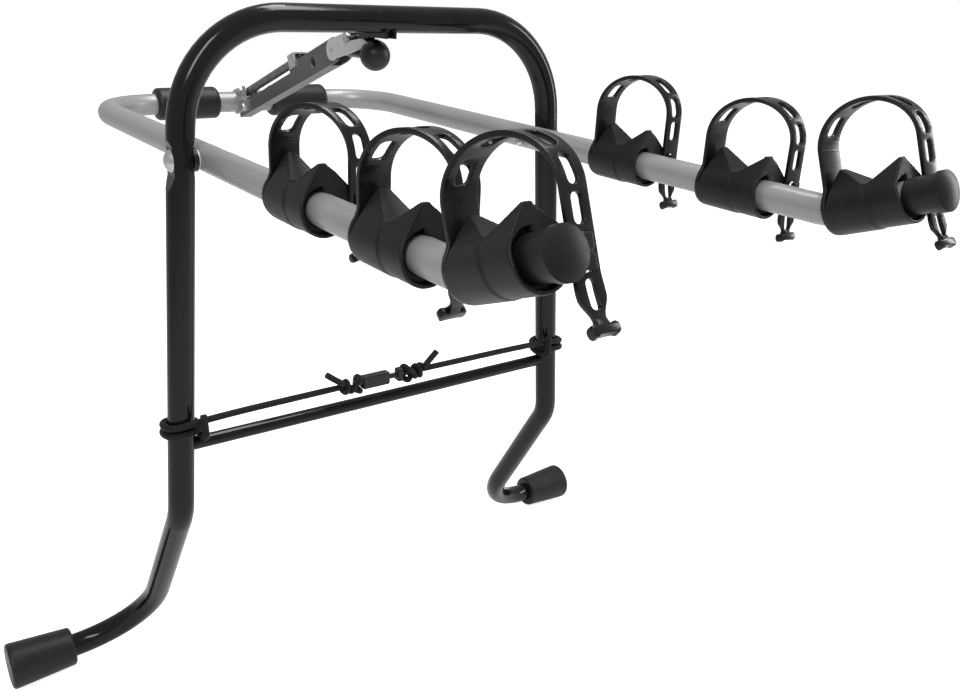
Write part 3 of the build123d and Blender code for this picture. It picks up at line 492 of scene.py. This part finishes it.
def add_shoulder(shape, cradle):
    """The plate in front, from the horn's crest down to the ear that carries the peg."""
    crest = cradle.horn_crest
    outline = ((0.0, 0.017), (0.0, crest - 0.0015), (0.0035, crest - 0.001), (0.012, crest - 0.0075),
               (0.0285, 0.0155), (ear_edge_x, 0.0105), (ear_edge_x, ear_foot_z), (0.019, ear_foot_z))
    plate = push_out(shape, [(x, shoulder_front_y, z) for x, z in outline],
                     (0, shoulder_rear_y - shoulder_front_y, 0))
    bmesh.ops.transform(shape, verts=plate, matrix=cradle.place)


def moulded_cradle(name, cradle):
    """One cradle without its strap's root, with its shoulder and its peg's two-part head, its edges
    rounded as in a mould, its lower half moved towards the tip and its rear moved in with the strap."""
    shape = shape_of(cad_nodes[f"cradle_{name}"].data)
    bmesh.ops.remove_doubles(shape, verts=shape.verts, dist=1e-6)
    blank = loose_object("blank", mesh_of(shape, "blank"))
    cutter = root_cutter(cradle.place)
    cut = blank.modifiers.new("cut", "BOOLEAN")
    cut.operation = "DIFFERENCE"
    cut.solver = "EXACT"
    cut.object = cutter
    carved = finished_mesh(blank)
    bpy.data.objects.remove(cutter)
    shape = shape_of(carved)
    add_block(shape, cradle, peg_neck_half_width, peg_neck_depth, peg_neck_height)
    add_shoulder(shape, cradle)
    for depth, height in peg_head_parts:
        add_block(shape, cradle, peg_head_half_width, depth, height)
    put_back(shape, carved)
    blank = loose_object("blank", carved)
    skin = blank.modifiers.new("skin", "REMESH")
    skin.mode = "VOXEL"
    skin.voxel_size = mould_grid
    rounding = blank.modifiers.new("rounding", "SMOOTH")
    rounding.factor = 0.5
    rounding.iterations = 4
    done = finished_mesh(blank)
    back = cradle.place.inverted()
    rear_lean = strap_lean * (strap_rear_y - strap_front_y)
    for vert in done.vertices:
        spot = back @ vert.co
        low_share = ramp(spot.z, *low_half_heights) * ramp(abs(spot.x), *low_half_widths)
        low_shift = low_half_shift * low_share
        rear_shift = rear_lean * ramp(spot.y, *rear_depths)
        spot.y -= max(low_shift, rear_shift)
        vert.co = cradle.place @ spot
    done.shade_smooth()
    return done


# The rubber straps, each cut flat with its ladder of slots and then bent. Lengths along a
# strap run from the foot of its ring to its grip bar.

arch_length = math.pi * arch_radius
root_middle_x = -0.0015
root_half_width = 0.0145
front_half_width = 0.011
neck_half_width = 0.005
tail_widening = 0.0008
tail_widening_run = 0.010
tail_taper_start = 0.030
neck_length = 0.007
band_start = ring_radius + 0.021
neck_end_before_grip = 0.0036
outline_steps = 70
ring_start, ring_end, ring_steps = 139, 416, 24
grip_half_outline = ((0.0062, -0.0031), (0.0080, -0.0041), (0.0102, -0.0040), (0.0118, -0.0026),
                     (0.0124, 0.0), (0.0118, 0.0026), (0.0102, 0.0040), (0.0080, 0.0041), (0.0062, 0.0031))
grip_reach = 0.0075
grip_swelling = 0.75
grip_fade = 1.6
slot_end_margin = 0.0004
slot_corner_radius = 0.004
# The slots on the arch, from rear to front: degrees up from its front foot, length and width
arch_slots = ((145, 0.020, 0.0125), (98, 0.021, 0.0105), (53, 0.021, 0.0095), (14, 0.021, 0.009))
# The slots below the arch: how far past its front foot, or past the peg, then length and width
front_slot = (0.016, 0.021, 0.0088)
peg_slot = (0.0010, 0.0262, 0.0104)
tail_slot = (0.0285, 0.021, 0.0076)
strap_edge = 0.0007
arch_cuts = 46
tail_cuts = 17
tail_cut_step = 0.0028


def arch_start(cradle):
    """The length along the strap at which its arch begins."""
    return ring_radius + cradle.arch_height


def arch_end(cradle):
    """The length along the strap at which its arch ends."""
    return arch_start(cradle) + arch_length


def peg_along(cradle):
    """The length along the strap at the peg's height."""
    return arch_end(cradle) + cradle.arch_height


def strap_line(along, cradle, curl):
    """Where the strap's middle runs, and which way its outer face looks, at a length along it."""
    arch_height = cradle.arch_height
    rear_run = arch_height + ring_radius
    if along <= rear_run:
        return strap_rear_y, along - ring_radius, 1.0, 0.0
    if along <= rear_run + arch_length:
        angle = (along - rear_run) / arch_radius
        away, rise = math.cos(angle), math.sin(angle)
        return arch_y + arch_radius * away, arch_height + arch_radius * rise, away, rise
    height = arch_height - (along - rear_run - arch_length)
    curl_run = cradle.tail_drop - tail_curl_start
    fall = max(0.0, -tail_curl_start - height) / curl_run
    way = Vector((-2 * curl * fall / curl_run, -1.0)).normalized()
    return strap_front_y - curl * fall ** 2, height, way.y, -way.x


def front_share(along, cradle):
    """Nothing on the strap's rear leg and one on its front leg."""
    y = strap_line(along, cradle, 0.0)[0]
    return (strap_rear_y - y) / (strap_rear_y - strap_front_y)


def strap_middle(along, cradle):
    """The middle of the strap's width at a length along it."""
    return root_middle_x + front_share(along, cradle) * (cradle.strap_end - root_middle_x)


def strap_half_width(along, cradle):
    """Half of the strap's width at a length along it, down to its neck."""
    share = front_share(along, cradle)
    width = root_half_width + share * (front_half_width - root_half_width)
    below = -strap_line(along, cradle, 0.0)[1]
    if share > 0.99 and below > tail_curl_start:
        width += tail_widening * min(1.0, (below - tail_curl_start) / tail_widening_run)
    if share > 0.99 and below > tail_taper_start:
        width += (neck_half_width - width) * ramp(below, tail_taper_start, cradle.tail_drop - neck_length)
    return width


def slot_corners(middle_along, length, width, cradle):
    """A slot with round corners that leans with the strap."""
    corner = min(width / 2 - slot_end_margin, slot_corner_radius)
    points = []
    for way_across, way_along, first in ((1, 1, 0), (-1, 1, 90), (-1, -1, 180), (1, -1, 270)):
        for step in range(5):
            angle = math.radians(first + step * 22.5)
            along = middle_along + way_along * (length / 2 - corner) + corner * math.sin(angle)
            across = way_across * (width / 2 - corner) + corner * math.cos(angle)
            points.append((strap_middle(along, cradle) + across, along))
    return points


def strap_outline(cradle):
    """The flat strap: the ring round the tube, the band, its taper, its neck and its grip bar."""
    grip_along = peg_along(cradle) + cradle.tail_drop
    band_length = grip_along - neck_end_before_grip - band_start
    levels = [band_start + band_length * step / outline_steps for step in range(outline_steps + 1)]
    right = [(strap_middle(along, cradle) + strap_half_width(along, cradle), along) for along in levels]
    left = [(strap_middle(along, cradle) - strap_half_width(along, cradle), along) for along in levels]
    bar = [(cradle.strap_end + across, grip_along + along) for across, along in grip_half_outline]
    bar += [(cradle.strap_end - across, grip_along + along) for across, along in reversed(grip_half_outline)]
    ring = []
    for step in range(ring_steps + 1):
        angle = math.radians(ring_start + (ring_end - ring_start) * step / ring_steps)
        ring.append((ring_radius * math.cos(angle), ring_radius + ring_radius * math.sin(angle)))
    return right + bar + left[::-1] + ring


def strap_slots(cradle):
    """The slots of the ladder, the peg's slot, the tail's slot and the hole for the tube."""
    slots = []
    for angle, length, width in arch_slots:
        along = arch_start(cradle) + arch_radius * math.radians(180 - angle)
        slots.append(slot_corners(along, length, width, cradle))
    for foot, (beyond, length, width) in ((arch_end(cradle), front_slot), (peg_along(cradle), peg_slot),
                                          (peg_along(cradle), tail_slot)):
        slots.append(slot_corners(foot + beyond, length, width, cradle))
    hole = []
    for degrees in range(0, 360, 12):
        angle = math.radians(degrees)
        hole.append((ring_hole_radius * math.cos(angle), ring_radius + ring_hole_radius * math.sin(angle)))
    slots.append(hole)
    return slots


def moulded_strap(cradle):
    """The strap as one band with its slots, bent along its line."""
    flat = bpy.data.curves.new("flat_strap", "CURVE")
    flat.dimensions = "2D"
    flat.fill_mode = "BOTH"
    flat.extrude = strap_half_thickness - strap_edge
    flat.bevel_depth = strap_edge
    flat.bevel_resolution = 2
    flat.offset = -strap_edge
    for points in (strap_outline(cradle), *strap_slots(cradle)):
        spline = flat.splines.new("POLY")
        spline.points.add(len(points) - 1)
        for point, (across, along) in zip(spline.points, points):
            point.co = (across, along, 0, 1)
        spline.use_cyclic_u = True
    mesh = finished_mesh(loose_object("flat_strap", flat))
    shape = shape_of(mesh)
    bmesh.ops.remove_doubles(shape, verts=shape.verts, dist=1e-6)
    tail_start = peg_along(cradle) + tail_curl_start
    cuts = [arch_start(cradle) + arch_length * step / arch_cuts for step in range(arch_cuts + 1)]
    cuts += [tail_start + tail_cut_step * step for step in range(tail_cuts)]
    for along in cuts:
        everything = shape.verts[:] + shape.edges[:] + shape.faces[:]
        bmesh.ops.bisect_plane(shape, geom=everything, dist=1e-7, plane_co=(0, along, 0),
                               plane_no=(0, 1, 0))
    grip_along = peg_along(cradle) + cradle.tail_drop
    for vert in shape.verts:
        across, along, out = vert.co
        near_grip = max(0.0, 1.0 - abs(along - grip_along) / grip_reach)
        out *= 1.0 + grip_swelling * min(1.0, grip_fade * near_grip)
        y, z, out_y, out_z = strap_line(along, cradle, cradle.tail_curl)
        y += out * out_y
        z += out * out_z
        y -= strap_lean * (y - strap_front_y)
        vert.co = cradle.place @ Vector((across, y, z))
    bmesh.ops.recalc_face_normals(shape, faces=shape.faces)
    put_back(shape, mesh)
    shade_smooth(mesh, 35)
    return mesh


for cradle_name, cradle in cradles.items():
    add_piece(f"rubber_cradle_{cradle_name}", moulded_cradle(cradle_name, cradle), "arms", rubber,
              [f"cradle_{cradle_name}"])
    strap_piece = add_piece(f"rubber_strap_{cradle_name}", moulded_strap(cradle), None, strap_rubber,
                            [f"strap_{cradle_name}"])
    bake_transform(strap_piece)


# The elastic cords

cord_radius = 0.004
cord_line_y = -0.1854
cord_line_z = 0.405
wrap_reach = 0.0194
wrap_pitch = 0.0094
wrap_start_z = 0.398
upright_y = -0.166
upright_top_z = 0.836
upright_top_half_width = 0.237
upright_lean = math.radians(4.31)
braid_pitch = 0.0035
braid_strands = 8.0


def upright_half_width(height):
    """How far an upright's middle is from the middle of the frame at a height."""
    return upright_top_half_width + math.tan(upright_lean) * (upright_top_z - height)


def cord_route(knot_x, side):
    """The points of one cord: its tail, its knot, its eye on the hook, the taut run and the turns."""
    points = []

    def near_knot(along, forward, up, width=1.0):
        """A point in millimetres from the knot: along the cord, forward and up."""
        points.append(((side * (knot_x - along * 0.001), cord_line_y + forward * 0.001,
                        cord_line_z + up * 0.001), width))

    near_knot(-27, -4, 22)
    near_knot(-18, -5, 15)
    near_knot(-9, -7, 9)
    for turn, along in enumerate((-6, -4.5, -2.5, -1, 1, 2.5, 4.5, 6)):
        corner = ((-7, 6), (6, 6), (6, -7), (-7, -7))[turn % 4]
        near_knot(along, corner[0], corner[1], 0.88)
    near_knot(12, -6, 3, 0.95)
    for across, up in ((-9, 8), (8, 8.5), (8, -8.5), (-8, -8.5)):
        near_knot(19, across, up, 0.95)
    near_knot(12, -2, -6, 0.95)
    near_knot(5, 0, -1, 0.9)
    near_knot(-6, 0, 0, 0.9)
    near_knot(-16, 0, 0)
    corner_x = upright_half_width(cord_line_z) + wrap_reach
    points.append(((side * (corner_x - 2.2 * wrap_reach), cord_line_y, cord_line_z - 0.001), 1.0))
    height = wrap_start_z
    for inward, backward in ((-1, -1), (-1, 1), (1, 1), (1, -1), (-1, -1), (-1, 1), (1, 1)):
        x = upright_half_width(height) - inward * wrap_reach
        points.append(((side * x, upright_y + backward * wrap_reach, height), 1.0))
        height -= wrap_pitch / 4
    end_x = side * (upright_half_width(height) - wrap_reach)
    end_y = cord_line_y - 2 * cord_radius - 0.0012
    points.append(((end_x, end_y, height), 1.0))
    points.append(((end_x, end_y, height + 0.014), 1.0))
    points.append(((end_x + side * 0.001, end_y + 0.002, height + 0.031), 1.0))
    return points


def cord_material(name, length):
    """The black woven cover, its strands about two millimetres wide."""
    material = finish(name, rgb(0.004, 0.004, 0.005), rgb(0.009, 0.009, 0.010), (0.50, 0.70),
                      cloud=70.0, sheen=0.03, specular=0.16)
    tree = material.node_tree
    shader = tree.nodes["Principled BSDF"]
    own_map = tree.nodes.new("ShaderNodeTexCoord").outputs["UV"]
    strands = use_effect(tree, braid, {"Along": length / braid_pitch, "Around": braid_strands},
                         {"Vector": own_map})
    bump = add_node(tree, "ShaderNodeBump", None, {"Strength": 0.6, "Distance": 0.0006},
                    {"Height": strands.outputs["Height"]})
    tree.links.new(bump.outputs["Normal"], shader.inputs["Normal"])
    return material


def cord_tube(points, radius):
    """A smooth round tube along a route, with its UV map, and its length."""
    curve = bpy.data.curves.new("route", "CURVE")
    curve.dimensions = "3D"
    curve.resolution_u = 8
    spline = curve.splines.new("NURBS")
    spline.points.add(len(points) - 1)
    for point, (place, width) in zip(spline.points, points):
        point.co = (*place, 1.0)
        point.radius = width
    spline.use_endpoint_u = True
    spline.order_u = 3
    route = loose_object("route", curve)
    bpy.context.view_layer.update()
    line = bpy.data.meshes.new_from_object(route)
    length = sum((line.vertices[edge.vertices[0]].co - line.vertices[edge.vertices[1]].co).length
                 for edge in line.edges)
    curve.bevel_depth = radius
    curve.bevel_resolution = 6
    curve.use_fill_caps = True
    tube = finished_mesh(route)
    shape = shape_of(tube)
    bmesh.ops.remove_doubles(shape, verts=shape.verts, dist=1e-6)
    bmesh.ops.recalc_face_normals(shape, faces=shape.faces)
    put_back(shape, tube)
    shade_smooth(tube, 60)
    return tube, length


for cord_side, sign, knot_x in (("left", -1, 0.070), ("right", 1, 0.036)):
    tube, length = cord_tube(cord_route(knot_x, sign), cord_radius)
    woven_cover = cord_material(f"woven_cover_{cord_side}", length)
    add_piece(f"elastic_cord_{cord_side}", tube, "frame", woven_cover, [f"cord_{cord_side}"])
    print(f"elastic cord {cord_side}: {length:.3f} m")


# The floor and the light

share_in_gloss = 0.2
floor_glow = 0.80
floor_half_size = 9
floor_z = -0.0015


def white_to_the_eye(tree):
    """One for what the camera sees straight, less for what a gloss shows, and nothing for other light."""
    rays = tree.nodes.new("ShaderNodeLightPath")
    mirrored = add_node(tree, "ShaderNodeMath", {"operation": "MULTIPLY"}, {1: share_in_gloss},
                        {0: rays.outputs["Is Glossy Ray"]})
    seen = add_node(tree, "ShaderNodeMath", {"operation": "MAXIMUM"}, None,
                    {0: rays.outputs["Is Camera Ray"], 1: mirrored.outputs[0]})
    return seen.outputs[0]


def pale_floor():
    """A pale floor that looks white and keeps the shadows."""
    shape = bmesh.new()
    bmesh.ops.create_grid(shape, x_segments=1, y_segments=1, size=floor_half_size)
    bmesh.ops.translate(shape, verts=shape.verts, vec=(0, 0, floor_z))
    mesh = mesh_of(shape, "pale_floor")
    material = bpy.data.materials.new("pale_floor")
    material.use_nodes = True
    tree = material.node_tree
    shader = tree.nodes["Principled BSDF"]
    shader.inputs["Base Color"].default_value = rgb(0.88, 0.88, 0.88)
    shader.inputs["Roughness"].default_value = 0.9
    shader.inputs["Specular IOR Level"].default_value = 0.0
    seen = white_to_the_eye(tree)
    glow = add_node(tree, "ShaderNodeMath", {"operation": "MULTIPLY"}, {1: floor_glow}, {0: seen})
    shader.inputs["Emission Color"].default_value = rgb(1, 1, 1)
    tree.links.new(glow.outputs[0], shader.inputs["Emission Strength"])
    mesh.materials.append(material)
    loose_object("pale_floor", mesh)


def soft_world():
    """White all round to the eye, paler in reflections and dimmer as light."""
    world = bpy.data.worlds.new("soft_world")
    scene.world = world
    world.use_nodes = True
    tree = world.node_tree
    sky = tree.nodes["Background"]
    sky.inputs["Color"].default_value = rgb(1, 1, 1)
    seen = white_to_the_eye(tree)
    strength = add_node(tree, "ShaderNodeMapRange", None, {"To Min": 0.45, "To Max": 1.0}, {"Value": seen})
    tree.links.new(strength.outputs["Result"], sky.inputs["Strength"])


def soft_lamp(name, place, target, size, power):
    """A square lamp that looks at a place."""
    data = bpy.data.lights.new(name, "AREA")
    data.shape = "RECTANGLE"
    data.size, data.size_y = size
    data.energy = power
    lamp = bpy.data.objects.new(name, data)
    lamp.location = place
    lamp.rotation_euler = (Vector(target) - Vector(place)).to_track_quat("-Z", "Y").to_euler()
    scene.collection.objects.link(lamp)


pale_floor()
soft_world()
soft_lamp("key_lamp", (-1.6, -1.8, 2.6), (0, -0.3, 0.5), (0.5, 1.6), 45)
soft_lamp("top_lamp", (0.6, -0.2, 2.8), (0, -0.3, 0.6), (1.8, 0.5), 40)
soft_lamp("side_lamp", (2.4, -1.2, 1.2), (0, -0.3, 0.5), (0.3, 1.6), 22)
